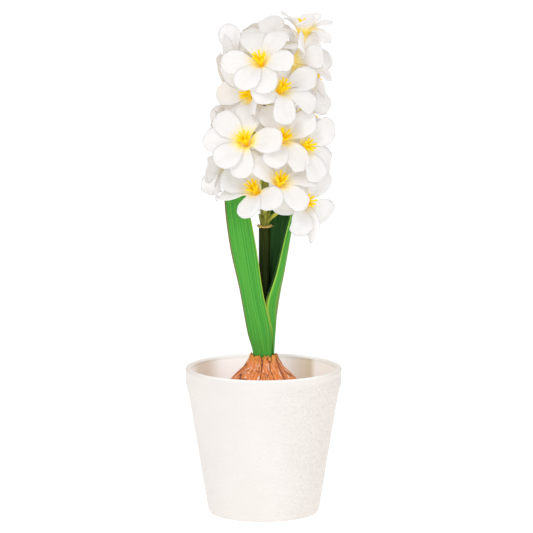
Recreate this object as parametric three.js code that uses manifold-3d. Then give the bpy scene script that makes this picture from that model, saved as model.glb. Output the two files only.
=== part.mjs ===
// A white hyacinth in a small tapered pot, in millimetres, +Z up. The origin is the centre of the pot's
// foot, -Y is the side that faces the room and +X is to the right of somebody who looks at that side.
// The pieces, from the ground up: a moulded pot, the potting soil in it, a bulb set half into the soil,
// two strap leaves and a round stem that all stand in the bulb's neck, a torn collar round the stem's
// top, and the flower stalk, which plugs into the stem and carries every floret on a pedicel of its own.
// A floret is two pieces: its petals, which are one corolla of three inner and three outer petals on a
// tube, and the tuft of stamens that stands in the tube.
import * as THREE from "three";
import { mergeVertices } from "three/addons/utils/BufferGeometryUtils.js";
import Module from "manifold-3d";

const wasm = await Module();
wasm.setup();

// ---- Driving dimensions -------------------------------------------------------------------------
const GAP = 0.3; // between pieces that touch
const POT_HEIGHT = 84.8;
const POT_RIM_RADIUS = 45;
const POT_FOOT_RADIUS = 31.4;
const POT_WALL = 3.6;
const POT_FLOOR = 5;
const SOIL_LEVEL = 60;
const BULB_RADIUS = 25.5;
const BULB_WAIST = 61; // height of its widest ring
const NECK_TOP = 91.8;
const NECK_FLOOR = 82; // floor of the pocket that the stem and the leaves stand in
const NECK_POCKET_RADIUS = 6.6;
const STEM_RADIUS = 3.3;
const STEM_TOP = 165;
const STEM_SOCKET = 6; // depth of the hole in the stem's top
const STALK_RADIUS = 2.4;
const STALK_TOP = 264;
const PEDICEL_RADIUS = 1.05;
const TUBE_LENGTH = 12;
const TUBE_MOUTH_RADIUS = 3.3;
const PETAL_LENGTH = 22.4;
const PETAL_WIDTH = 14.8;
const PETAL_THICKNESS = 0.9; // at the midrib; the edges are sharp
const LEAF_THICKNESS = 1;

const deg = THREE.MathUtils.degToRad;
const v2 = (x, y) => new THREE.Vector2(x, y);
const v3 = (x, y, z) => new THREE.Vector3(x, y, z);

// ---- Materials ----------------------------------------------------------------------------------
const finish = (color, roughness) => new THREE.MeshStandardMaterial({ color, roughness, metalness: 0 });
const POT_CREAM = finish(0xf1ebe3, 0.55);
const SOIL_BROWN = finish(0x35261b, 0.95);
const BULB_COPPER = finish(0xb5652f, 0.7);
const LEAF_GREEN = finish(0x46a53c, 0.45);
const STEM_GREEN = finish(0x2c3a18, 0.6);
const STALK_OLIVE = finish(0x7e8a2e, 0.6);
const COLLAR_TAN = finish(0x9a7d3a, 0.9);
const PETAL_WHITE = finish(0xf7f4ef, 0.8);
const STAMEN_YELLOW = finish(0xf8c907, 0.5);

// ---- Solids -------------------------------------------------------------------------------------
// A closed geometry as a solid that can be joined or tested, and a joined solid as a geometry again.
function solidOf(geometry) {
  const bare = geometry.clone();
  bare.deleteAttribute("normal");
  bare.deleteAttribute("uv");
  const merged = mergeVertices(bare, 1e-4);
  return new wasm.Manifold(
    new wasm.Mesh({
      numProp: 3,
      vertProperties: merged.attributes.position.array,
      triVerts: new Uint32Array(merged.index.array),
    }),
  );
}

const SMALLEST_EDGE = 0.02; // shorter ones, left where two solids were joined, are taken out

function geometryOf(solid) {
  const mesh = solid.simplify(SMALLEST_EDGE).getMesh();
  return new THREE.BufferGeometry()
    .setAttribute("position", new THREE.BufferAttribute(new Float32Array(mesh.vertProperties), 3))
    .setIndex(new THREE.BufferAttribute(new Uint32Array(mesh.triVerts), 1));
}

// A profile of [radius, height] pairs that starts and ends on the axis, turned about +Z.
function turned(profile, sides) {
  const points = profile.map(([radius, height]) => v2(radius, height));
  return new THREE.LatheGeometry(points, sides).rotateX(Math.PI / 2);
}

// ---- Pot: a tapered shell with a foot ring and a rim that flares a little -----------------------
const potOuter = (z) => POT_FOOT_RADIUS + 0.164 * z;
const potInner = (z) => potOuter(z) - POT_WALL;
const FOOT_RECESS = 1.5;
const LIP_START = 68; // where the wall starts to flare

function potGeometry() {
  const foot = POT_FOOT_RADIUS;
  const rim = POT_RIM_RADIUS;
  return turned(
    [
      [0, FOOT_RECESS],
      [foot - 6.5, FOOT_RECESS],
      [foot - 5.5, 0],
      [foot - 2.2, 0],
      [foot - 0.5, 0.7],
      [potOuter(3), 3],
      [potOuter(LIP_START), LIP_START],
      [rim - 1.5, 78],
      [rim - 0.2, POT_HEIGHT - 1.4],
      [rim - 0.6, POT_HEIGHT - 0.4],
      [rim - 1.8, POT_HEIGHT],
      [rim - 3.2, POT_HEIGHT - 0.4],
      [rim - 4.1, POT_HEIGHT - 1.6],
      [potInner(LIP_START), LIP_START],
      [potInner(POT_FLOOR + 3), POT_FLOOR + 3],
      [potInner(POT_FLOOR) - 2.5, POT_FLOOR],
      [0, POT_FLOOR],
    ],
    48,
  );
}

// ---- Bulb: onion shaped, with a flat base plate and a pocket in its neck ------------------------
const BULB_LOWER = [
  [9, 42],
  [17, 46.5],
  [23, 53],
  [BULB_RADIUS, BULB_WAIST],
];
const BULB_UPPER = [
  [24.4, 68],
  [21.8, 74],
  [18.2, 78.6],
  [14.8, 82],
  [11.9, 84.8],
  [9.8, 88.2],
  [8.3, 90.6],
  [7.4, NECK_TOP],
];
const BULB_FOOT = 41;

function bulbGeometry() {
  return turned(
    [
      [0, BULB_FOOT],
      [7, BULB_FOOT],
      ...BULB_LOWER,
      ...BULB_UPPER,
      [NECK_POCKET_RADIUS, NECK_TOP - 0.4],
      [NECK_POCKET_RADIUS, NECK_FLOOR],
      [0, NECK_FLOOR],
    ],
    24,
  );
}

// ---- Soil: fills the pot's lower part and cups the bulb's underside -----------------------------
function soilGeometry() {
  const bowl = BULB_LOWER.slice(0, -1).map(([radius, z]) => [radius + GAP, z - GAP]);
  const rest = BULB_RADIUS + GAP;
  return turned(
    [
      [0, POT_FLOOR + GAP],
      [potInner(POT_FLOOR) - 3.2, POT_FLOOR + GAP],
      [potInner(POT_FLOOR + 3) - 0.4, POT_FLOOR + 3.4],
      [potInner(SOIL_LEVEL - 1) - 0.4, SOIL_LEVEL - 1],
      [potInner(SOIL_LEVEL) - 1.6, SOIL_LEVEL],
      [rest + 5, SOIL_LEVEL + 0.8],
      [rest - 0.1, SOIL_LEVEL - 0.2],
      ...bowl.reverse(),
      [7, BULB_FOOT - GAP],
      [0, BULB_FOOT - GAP],
    ],
    24,
  );
}

// ---- Stem, collar and the line that the flower stalk follows ------------------------------------
const STEM_X = 0.5;
const STALK_LEAN = v2(2, 0.8); // how far the stalk's top leans from the stem's axis
const COLLAR_HEIGHT = 1.8;
const COLLAR_RADIUS = 4.4;

function stemGeometry() {
  const bore = STALK_RADIUS + GAP;
  return turned(
    [
      [0, NECK_FLOOR + GAP],
      [STEM_RADIUS, NECK_FLOOR + GAP],
      [STEM_RADIUS, STEM_TOP - 0.5],
      [STEM_RADIUS - 0.2, STEM_TOP],
      [bore, STEM_TOP],
      [bore, STEM_TOP - STEM_SOCKET],
      [0, STEM_TOP - STEM_SOCKET],
    ],
    14,
  ).translate(STEM_X, 0, 0);
}

function collarGeometry() {
  const low = STEM_TOP + GAP;
  const bore = STALK_RADIUS + GAP;
  const ring = [
    [bore, low],
    [COLLAR_RADIUS - 0.8, low],
    [COLLAR_RADIUS, low + 0.7 * COLLAR_HEIGHT],
    [bore + 0.6, low + COLLAR_HEIGHT],
    [bore, low],
  ];
  return turned(ring, 14).translate(STEM_X, 0, 0);
}

const stalkAxis = (z) => {
  const share = Math.max(0, (z - STEM_TOP) / (STALK_TOP - STEM_TOP));
  return v3(STEM_X + STALK_LEAN.x * share, STALK_LEAN.y * share, z);
};

// ---- Leaves: channelled straps, each drawn by three rails, its two margins and its midrib -------
const LEAF_STEPS = 12;
const LEAF_ACROSS = 5;

function leafGeometry(leftRail, midRail, rightRail) {
  const rails = [leftRail, midRail, rightRail].map(
    (rail) => new THREE.CatmullRomCurve3(rail.map((p) => v3(...p)), false, "centripetal"),
  );
  // The section is the parabola through the three rails; u runs from -1 to 1 and t from 0 to 1.
  const middle = (u, t) => {
    const [left, mid, right] = rails.map((rail) => rail.getPoint(t));
    return left
      .multiplyScalar((u * (u - 1)) / 2)
      .addScaledVector(mid, 1 - u * u)
      .addScaledVector(right, (u * (u + 1)) / 2);
  };
  const box = new THREE.BoxGeometry(2, 1, 1, LEAF_ACROSS, LEAF_STEPS, 1);
  const at = box.getAttribute("position");
  const small = 0.01;
  for (let i = 0; i < at.count; i++) {
    const u = at.getX(i);
    const t = THREE.MathUtils.clamp(at.getY(i) + 0.5, 0, 1);
    const side = at.getZ(i) * 2;
    const inner = THREE.MathUtils.clamp(u, small - 1, 1 - small);
    const low = THREE.MathUtils.clamp(t, small, 1 - small);
    const across = middle(inner + small, t).sub(middle(inner - small, t));
    const along = middle(u, low + small).sub(middle(u, low - small));
    const normal = across.cross(along).normalize();
    const edge = 1 - 0.55 * u * u;
    const point = middle(u, t).addScaledVector(normal, (side * edge * LEAF_THICKNESS) / 2);
    at.setXYZ(i, point.x, point.y, point.z);
  }
  return box;
}

// The left leaf stands in front of the stem and leans to the left, and its channel faces the stem.
const LEFT_LEAF = [
  [
    [-5.6, -1.7, 82.5],
    [-5.7, -1.8, 93],
    [-8.8, -4, 105],
    [-13.4, -5.4, 130.5],
    [-18.5, -6.6, 153.5],
    [-21.6, -8, 177],
    [-22, -9.6, 196],
    [-19.6, -10.6, 207],
  ],
  [
    [-0.6, -5.3, 82.5],
    [-0.7, -5.4, 93],
    [-2.4, -7.8, 105],
    [-7.4, -9.2, 130.5],
    [-11.2, -9.6, 153.5],
    [-14.8, -10.2, 177],
    [-17.4, -11, 196],
    [-18.9, -11.2, 208.5],
  ],
  [
    [4.3, -3.8, 82.5],
    [4.4, -3.8, 93],
    [4.3, -6, 105],
    [-0.7, -8.2, 130.5],
    [-3.9, -9.4, 153.5],
    [-8.4, -9, 177],
    [-13.4, -9.6, 196],
    [-18.2, -11, 207.5],
  ],
];
// The right leaf wraps the stem from behind and opens to the left; its near margin swings to the
// right as it rises.
const RIGHT_LEAF = [
  [
    [4.9, -1, 82.5],
    [4.9, -1.2, 92],
    [4.2, -3.9, 106],
    [1, -5.2, 121],
    [6.3, -6, 140],
    [11.6, -6.2, 162],
    [14.6, -4.6, 174],
    [14.4, 1.6, 184],
    [10.8, 8, 191],
  ],
  [
    [4.9, 2.5, 82.5],
    [5, 2.4, 92],
    [6.1, 0.8, 106],
    [8, -0.4, 121],
    [11, -0.4, 140],
    [14.4, 0.4, 162],
    [16.2, 2.4, 174],
    [14.8, 6.4, 184],
    [10.4, 9.6, 192],
  ],
  [
    [-0.6, 5.2, 82.5],
    [-0.7, 5.3, 92],
    [-1.6, 6.3, 106],
    [-2.6, 7, 121],
    [-2.4, 8.6, 140],
    [0.4, 10.4, 162],
    [2.6, 10.8, 174],
    [5.6, 10.8, 184],
    [9.6, 10.2, 191],
  ],
];

// ---- Florets: where each one faces --------------------------------------------------------------
// turn: degrees round the stalk, 0 to the room and 90 to the right.
// height and reach: of the tube's mouth, above the ground and out from the stalk's axis.
// lift and swing: degrees that the floret faces up, and to the right of its turn.
// petals: where each petal points, seen from the floret's front, 0 to the right and 90 up.
// open and size: how much further its petals open than the others', and their size beside them.
// bends and twists: how much further each of its petals opens, and turns about its own midrib.
// The ones that come first also settle first, and those after them give way.
const evenly = (first) => [0, 60, 120, 180, 240, 300].map((step) => first + step);
const FLORETS = [
  {
    turn: -9, height: 261.5, reach: 25, lift: 44, swing: -6, petals: [351, 54, 114, 200, 256, 292],
    bends: [0, -14, 18, 0, 20, 14], twists: [28, 0, 0, -24, 0, 0],
  },
  {
    turn: 17, height: 246, reach: 24, lift: 38, swing: 17, petals: [10, 95, 192, 256, 316, 354],
    bends: [0, 0, 10, 24, 24, 0], twists: [14, 0, 0, 0, 0, 14],
  },
  {
    turn: -25, height: 217, reach: 27, lift: 36, swing: 13, petals: [356, 90, 142, 186, 234, 270],
    bends: [0, 0, 0, 0, 14, 16], twists: [20, 0, 0, -14, 0, 0],
  },
  {
    turn: 25, height: 218, reach: 21.5, lift: 34, swing: -8, petals: [25, 84, 130, 200, 238, 290],
    bends: [-22, 0, 0, 20, 10, 14],
  },
  {
    turn: 50, height: 213, reach: 27, lift: 20, swing: -8, petals: [30, 82, 130, 190, 274, 322],
    bends: [0, 0, 0, 0, 8, 8],
  },
  {
    turn: -13, height: 189, reach: 23, lift: 38, swing: -15, petals: [98, 126, 144, 164, 280, 334],
    bends: [0, 0, 0, -10, 0, 0], twists: [0, 0, 0, 30, 0, 0],
  },
  {
    turn: 18, height: 193.5, reach: 25.5, lift: 42, swing: -4, petals: [8, 50, 90, 126, 156, 300],
    bends: [0, 0, 0, 0, 16, 14],
  },
  {
    turn: 51, height: 182, reach: 28.3, lift: 15, swing: -18, petals: [52, 104, 156, 238, 268, 332],
    bends: [-14, 0, 0, 0, 34, 26], twists: [0, 0, 0, 0, 100, 30],
  },
  {
    turn: 92, height: 276, reach: 20, lift: 86, swing: 0, petals: [90, 30, 330, 270, 238, 178],
    bends: [0, 0, 0, 14, 84, 4], twists: [0, 0, 0, 0, 0, 40], open: -34, size: 0.78,
  },
  { turn: -34, height: 243, reach: 14, lift: 8, swing: -24, petals: [340, 50, 120, 170, 218, 262] },
  {
    turn: 62, height: 262, reach: 19, lift: 20, swing: 20, petals: [25, 85, 145, 190, 250, 310],
    bends: [0, 0, 0, -40, 0, 0],
  },
  {
    turn: -84, height: 242, reach: 20, lift: 0, swing: -18, petals: [330, 30, 90, 150, 215, 268],
    bends: [-20, 0, 0, 0, 10, 6],
  },
  {
    turn: 40, height: 267.5, reach: 6.3, lift: 78, swing: -40, petals: [8, 50, 100, 150, 195, 270],
    bends: [0, 0, 0, 0, 34, -10], open: -16,
  },
  {
    turn: -62, height: 259.5, reach: 19, lift: 26, swing: -16, petals: evenly(20),
    twists: [0, 70, 0, 0, 0, 0],
  },
  {
    turn: 80, height: 250.5, reach: 22.5, lift: 10, swing: 10, petals: [20, 75, 125, 170, 215, 272],
    bends: [0, 0, 0, -24, 0, 0], twists: [0, 0, 0, 0, 0, 60],
  },
  {
    turn: -76, height: 202, reach: 23, lift: 4, swing: -4, petals: [350, 50, 110, 170, 248, 300],
    bends: [-20, 0, 0, 0, 10, 0], twists: [0, 0, 0, 0, -80, 0],
  },
  { turn: -86, height: 221, reach: 20.5, lift: 6, swing: -12, petals: evenly(40) },
  {
    turn: 104, height: 229, reach: 20.5, lift: 12, swing: 4, petals: [0, 48, 96, 165, 225, 290],
    bends: [0, 0, 0, -10, 0, 0],
  },
  { turn: 116, height: 205, reach: 23, lift: 2, swing: 4, petals: evenly(25) },
  { turn: -130, height: 254, reach: 22, lift: 16, swing: 0, petals: evenly(50) },
  { turn: -137, height: 213, reach: 23.5, lift: 6, swing: 0, petals: evenly(5) },
  { turn: 155, height: 214, reach: 23.5, lift: 14, swing: 0, petals: evenly(30) },
  { turn: 192, height: 191, reach: 24, lift: 4, swing: 0, petals: evenly(15) },
  { turn: 190, height: 234, reach: 23.5, lift: 16, swing: 0, petals: evenly(0) },
  { turn: 136, height: 252, reach: 23, lift: 22, swing: 0, petals: evenly(40) },
  { turn: 188, height: 263, reach: 20, lift: 30, swing: 0, petals: evenly(10) },
];

// A floret's own frame: X to its right, Y up its face and Z the way it faces, with the origin at the
// tube's mouth.
function floretFrame({ turn, height, reach, lift, swing }) {
  const out = deg(turn);
  const face = deg(turn + swing);
  const up = deg(lift);
  const axis = stalkAxis(height);
  const mouth = v3(axis.x + reach * Math.sin(out), axis.y - reach * Math.cos(out), height);
  const facing = v3(Math.sin(face) * Math.cos(up), -Math.cos(face) * Math.cos(up), Math.sin(up));
  const right = v3(Math.cos(face), Math.sin(face), 0);
  const upward = facing.clone().cross(right);
  return new THREE.Matrix4().makeBasis(right, upward, facing).setPosition(mouth);
}

// ---- Flower stalk: a tapering core with a curved pedicel up to the foot of each floret's tube ---
const PEDICEL_STEPS = 3;
const PEDICEL_SIDES = 5;
const PEDICEL_RISE = 3; // of the shortest one, from the stalk to its floret
const PEDICEL_SLOPE = 0.55; // further rise for each millimetre that it reaches out

function pedicelCurve(frame) {
  const facing = v3(0, 0, 1).transformDirection(frame);
  const foot = v3(0, 0, 0).applyMatrix4(frame).addScaledVector(facing, -TUBE_LENGTH - GAP);
  const away = v3(foot.x, foot.y, 0).sub(stalkAxis(foot.z).setZ(0));
  const reach = away.length();
  const rise = PEDICEL_RISE + PEDICEL_SLOPE * reach;
  const start = stalkAxis(Math.min(foot.z - rise, STALK_TOP - PEDICEL_RISE));
  const leaving = start.clone().addScaledVector(away, 0.25);
  leaving.z += 0.55 * rise;
  const arriving = foot.clone().addScaledVector(facing, -0.35 * reach);
  return new THREE.CubicBezierCurve3(start, leaving, arriving, foot);
}

function stalkSolid(frames) {
  const low = STEM_TOP - STEM_SOCKET + GAP;
  const core = new THREE.CylinderGeometry(0.5 * STALK_RADIUS, STALK_RADIUS, STALK_TOP - low, 10, 1)
    .rotateX(Math.PI / 2)
    .translate(0, 0, (STALK_TOP + low) / 2);
  const at = core.getAttribute("position");
  for (let i = 0; i < at.count; i++) {
    const axis = stalkAxis(at.getZ(i));
    at.setXY(i, at.getX(i) + axis.x, at.getY(i) + axis.y);
  }
  const section = new THREE.Shape(
    Array.from({ length: PEDICEL_SIDES }, (_, side) => {
      const angle = (side / PEDICEL_SIDES) * 2 * Math.PI;
      return v2(PEDICEL_RADIUS * Math.cos(angle), PEDICEL_RADIUS * Math.sin(angle));
    }),
  );
  return frames.reduce((stalk, frame) => {
    const along = { steps: PEDICEL_STEPS, bevelEnabled: false, extrudePath: pedicelCurve(frame) };
    return stalk.add(solidOf(new THREE.ExtrudeGeometry(section, along)));
  }, solidOf(core));
}

// ---- Corolla tube and stamens, in the floret's own frame ----------------------------------------
const TUBE_SIDES = 8;
const POCKET_DEPTH = 6; // of the hollow in the tube, where the stamens stand

function tubeGeometry() {
  return turned(
    [
      [0, -TUBE_LENGTH],
      [1.7, 0.4 - TUBE_LENGTH],
      [2.3, -POCKET_DEPTH],
      [TUBE_MOUTH_RADIUS, 0],
      [TUBE_MOUTH_RADIUS - 0.7, 0.2],
      [1.8, -POCKET_DEPTH],
      [0, -POCKET_DEPTH],
    ],
    TUBE_SIDES,
  );
}

const STAMEN_LENGTH = 8; // beyond the tube's mouth
const STAMEN_SIDES = 6;

function stamenGeometry() {
  return turned(
    [
      [0, GAP - POCKET_DEPTH],
      [1.2, GAP - POCKET_DEPTH],
      [3.2, STAMEN_LENGTH],
      [0, STAMEN_LENGTH - 1.5],
    ],
    STAMEN_SIDES,
  );
}

// ---- Petals -------------------------------------------------------------------------------------
// A petal is a sphere of four sides pulled out to a leaf shape: two of its side lines are the petal's
// edges, and the other two its front and back midribs. Each row is [share of the length, share of the
// half width, how far the edges stand in front of the midrib].
const PETAL_ROWS = [
  [0, 0, 0],
  [0.18, 0.4, 0.8],
  [0.42, 0.86, 0.9],
  [0.68, 1, 0.3],
  [0.9, 0.74, -0.5],
  [1, 0, 0],
];
const FREE_ROWS = PETAL_ROWS.slice(1); // what stands clear of the tube
const PETAL_ROOT = v2(2.8, -1.2); // out from the tube's axis, and along it
const MOUTH_ANGLE = 26; // between the petal and the tube's axis where it leaves the tube
const FLARE_LENGTH = 9; // over which the petal opens
const INNER_FLARE = 62;
const OUTER_FLARE = 73;
const CURL = 34; // further, from the end of the flare to the tip
const ARC_STEP = 0.25;

// The midrib at each row's share of the length, as [out, along, angle from the tube's axis].
function midribAt(rows, { flare, curl, length }) {
  const midrib = [];
  let [out, along] = PETAL_ROOT.toArray();
  for (let s = 0; midrib.length < rows.length; s += ARC_STEP) {
    const opened = THREE.MathUtils.smoothstep(s, 0, FLARE_LENGTH);
    const curled = Math.max(0, (s - FLARE_LENGTH) / (length - FLARE_LENGTH)) ** 1.3;
    const angle = deg(MOUTH_ANGLE + (flare - MOUTH_ANGLE) * opened + curl * curled);
    if (s >= rows[midrib.length][0] * length - 1e-6) midrib.push([out, along, angle]);
    out += ARC_STEP * Math.sin(angle);
    along += ARC_STEP * Math.cos(angle);
  }
  return midrib;
}

// grow widens, thickens and lengthens the petal, for testing its clearance.
function petalGeometry(petal, frame, grow = 0, rows = PETAL_ROWS) {
  const last = rows.length - 1;
  const midrib = midribAt(rows, petal);
  const turn = deg(petal.toward);
  const outward = v3(Math.cos(turn), Math.sin(turn), 0);
  const sideways = v3(-Math.sin(turn), Math.cos(turn), 0);
  const sphere = new THREE.SphereGeometry(1, 4, last);
  const at = sphere.getAttribute("position");
  const uv = sphere.getAttribute("uv");
  for (let i = 0; i < at.count; i++) {
    const row = Math.round(uv.getY(i) * last);
    const corner = Math.round(uv.getX(i) * 4) % 4;
    const side = [-1, 0, 1, 0][corner];
    const face = [0, 1, 0, -1][corner];
    const [share, wide, cup] = rows[row];
    const [out, along, angle] = midrib[row];
    const tangent = outward.clone().multiplyScalar(Math.sin(angle)).add(v3(0, 0, Math.cos(angle)));
    const across = sideways.clone().applyAxisAngle(tangent, deg(petal.twist * share));
    const back = across.clone().cross(tangent);
    const point = outward.clone().multiplyScalar(out).add(v3(0, 0, along));
    if (row > 0 && row < last) {
      point.addScaledVector(across, side * ((wide * petal.width) / 2 + grow));
      point.addScaledVector(back, face * (PETAL_THICKNESS / 2 + grow) - Math.abs(side) * cup);
    } else if (row === last) {
      point.addScaledVector(tangent, grow);
    }
    at.setXYZ(i, point.x, point.y, point.z);
  }
  return sphere.applyMatrix4(frame);
}

// A fixed scatter between -1 and 1, so that no two petals are alike.
const scatter = (n) => {
  const wave = Math.sin(n * 12.9898) * 43758.5453;
  return 2 * (wave - Math.floor(wave)) - 1;
};

const petalOf = (floret, f, k) => ({
  toward: floret.petals[k] + 3 * scatter(6 * f + k + 0.5),
  flare:
    (k % 2 ? OUTER_FLARE : INNER_FLARE) +
    6 * scatter(17 * f + k + 0.1) +
    (floret.open ?? 0) +
    (floret.bends?.[k] ?? 0),
  curl: CURL + 14 * scatter(29 * f + 3 * k),
  length: PETAL_LENGTH * (floret.size ?? 1) * (1 + 0.06 * scatter(11 * f + 5 * k)),
  width: PETAL_WIDTH * (floret.size ?? 1) * (1 + 0.07 * scatter(7 * f + 2 * k)),
  twist: 14 * scatter(13 * f + 7 * k) + (floret.twists?.[k] ?? 0),
});

// Petals give way to what is there already, as they do when a head fills out: each one tries its own
// shape first, then bends back or forward, then turns aside a little, and then stays shorter.
const CLEARANCE = 0.45;
const SHORTER = [1, 0.88, 0.76, 0.64, 0.54];
const ASIDE = [0, 9, -9, 18, -18, 27, -27];
const BENDS = [0, 6, -6, 12, -12, 18, -18, 24, -24, 30, -30, 38, -38, 46, 54];

const boxOf = (solid) => {
  const { min, max } = solid.boundingBox();
  return new THREE.Box3(v3(...min), v3(...max));
};
const obstacle = (solid, owner) => ({ solid, box: boxOf(solid), owner });

function touches(solid, obstacles) {
  const box = boxOf(solid);
  const meets = (other) => other.box.intersectsBox(box) && !solid.intersect(other.solid).isEmpty();
  return obstacles.some(meets);
}

function* ways(petal) {
  for (const shorter of SHORTER) {
    for (const aside of ASIDE) {
      for (const bend of BENDS) {
        const { toward, flare, length } = petal;
        yield { ...petal, toward: toward + aside, flare: flare + bend, length: length * shorter };
      }
    }
  }
}

// The first way that clears the other florets with the whole petal, and its own with what is free.
function settled(petal, frame, obstacles, siblings) {
  for (const way of ways(petal)) {
    const free = solidOf(petalGeometry(way, frame, CLEARANCE, FREE_ROWS));
    if (touches(free, siblings)) continue;
    const whole = solidOf(petalGeometry(way, frame, CLEARANCE));
    if (!touches(whole, obstacles)) return way;
  }
  return null;
}

// ---- The plant, put together --------------------------------------------------------------------
const plant = new THREE.Group();
function addPiece(name, geometry, material) {
  const mesh = new THREE.Mesh(geometry, material);
  mesh.name = name;
  plant.add(mesh);
}

addPiece("pot", potGeometry(), POT_CREAM);
addPiece("potting_soil", soilGeometry(), SOIL_BROWN);
addPiece("bulb", bulbGeometry(), BULB_COPPER);
addPiece("stem", stemGeometry(), STEM_GREEN);
addPiece("stem_collar", collarGeometry(), COLLAR_TAN);
addPiece("leaf_left", leafGeometry(...LEFT_LEAF), LEAF_GREEN);
addPiece("leaf_right", leafGeometry(...RIGHT_LEAF), LEAF_GREEN);

const frames = FLORETS.map(floretFrame);
const stalk = stalkSolid(frames);
addPiece("flower_stalk", geometryOf(stalk), STALK_OLIVE);

const fixed = [obstacle(stalk)];
for (const mesh of plant.children.filter((piece) => /^(leaf|stem)/.test(piece.name))) {
  fixed.push(obstacle(solidOf(mesh.geometry)));
}
const tubes = frames.map((frame, f) => obstacle(solidOf(tubeGeometry().applyMatrix4(frame)), f));
const tufts = frames.map((frame, f) => obstacle(solidOf(stamenGeometry().applyMatrix4(frame)), f));
const petals = [];
FLORETS.forEach((floret, f) => {
  const others = [...fixed, ...tubes, ...tufts, ...petals].filter((piece) => piece.owner !== f);
  const own = [];
  const siblings = [tufts[f]];
  let corolla = tubes[f].solid;
  for (let k = 0; k < floret.petals.length; k++) {
    const petal = settled(petalOf(floret, f, k), frames[f], others, siblings);
    if (!petal) continue; // a crowded floret has fewer petals
    const solid = solidOf(petalGeometry(petal, frames[f]));
    corolla = corolla.add(solid);
    own.push(obstacle(solid, f));
    siblings.push(obstacle(solidOf(petalGeometry(petal, frames[f], 0, FREE_ROWS))));
  }
  petals.push(...own);
  const number = String(f + 1).padStart(2, "0");
  addPiece(`floret_${number}_petals`, geometryOf(corolla), PETAL_WHITE);
  addPiece(`floret_${number}_stamens`, stamenGeometry().applyMatrix4(frames[f]), STAMEN_YELLOW);
});

export default plant;
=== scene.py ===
import math
import random

import bmesh
import bpy
import numpy as np
from mathutils import Matrix, Vector
from mathutils.geometry import interpolate_bezier


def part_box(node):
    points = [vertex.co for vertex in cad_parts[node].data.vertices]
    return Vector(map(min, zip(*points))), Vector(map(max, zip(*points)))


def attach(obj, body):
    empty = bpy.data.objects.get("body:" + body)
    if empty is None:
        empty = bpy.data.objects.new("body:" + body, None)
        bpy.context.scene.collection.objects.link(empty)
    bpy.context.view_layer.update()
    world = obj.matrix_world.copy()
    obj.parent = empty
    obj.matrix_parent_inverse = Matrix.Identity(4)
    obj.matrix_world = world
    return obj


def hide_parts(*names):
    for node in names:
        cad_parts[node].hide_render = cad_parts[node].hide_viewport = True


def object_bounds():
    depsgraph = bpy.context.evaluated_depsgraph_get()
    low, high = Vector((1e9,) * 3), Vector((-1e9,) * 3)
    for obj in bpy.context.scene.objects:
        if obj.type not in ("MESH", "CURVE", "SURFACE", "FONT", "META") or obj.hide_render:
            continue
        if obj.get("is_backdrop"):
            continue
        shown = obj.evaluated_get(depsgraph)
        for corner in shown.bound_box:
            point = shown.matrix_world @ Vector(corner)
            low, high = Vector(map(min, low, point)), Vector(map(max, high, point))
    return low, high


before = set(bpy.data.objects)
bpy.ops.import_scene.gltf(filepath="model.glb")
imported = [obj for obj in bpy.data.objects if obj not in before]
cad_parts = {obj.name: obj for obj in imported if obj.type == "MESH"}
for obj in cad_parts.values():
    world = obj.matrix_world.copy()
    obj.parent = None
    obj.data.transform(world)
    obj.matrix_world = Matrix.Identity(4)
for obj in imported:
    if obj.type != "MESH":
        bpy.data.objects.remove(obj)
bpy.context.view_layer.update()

MM = 0.001


# ---- Room: floor, white surroundings, lights and camera ----
# The plant stands on a white table in a bright white room. Two soft boxes light it, a strong one in
# front, high and to the left, and a weak one on the right. The camera looks a little down on it.
class Wire:
    """A value in a shader; arithmetic on it adds Math nodes."""

    def __init__(self, shader, socket):
        self.shader = shader
        self.socket = socket

    def out(self, name):
        return Wire(self.shader, self.socket.node.outputs[name])

    def math(self, operation, first, second=0.0):
        return self.shader.add("Math", {"operation": operation}, {0: first, 1: second})

    def __add__(self, other):
        return self.math("ADD", self, other)

    def __radd__(self, other):
        return self.math("ADD", other, self)

    def __sub__(self, other):
        return self.math("SUBTRACT", self, other)

    def __rsub__(self, other):
        return self.math("SUBTRACT", other, self)

    def __mul__(self, other):
        return self.math("MULTIPLY", self, other)

    def __pow__(self, other):
        return self.math("POWER", self, other)

    def __abs__(self):
        return self.math("ABSOLUTE", self)

    def sine(self):
        return self.math("SINE", self)

    def rise(self, low, high):
        """0 below low, 1 above high and smooth between; low may be the higher of the two."""
        ends = {"From Min": low, "From Max": high}
        return self.shader.add("MapRange", {"interpolation_type": "SMOOTHSTEP"}, {0: self, **ends})


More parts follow.
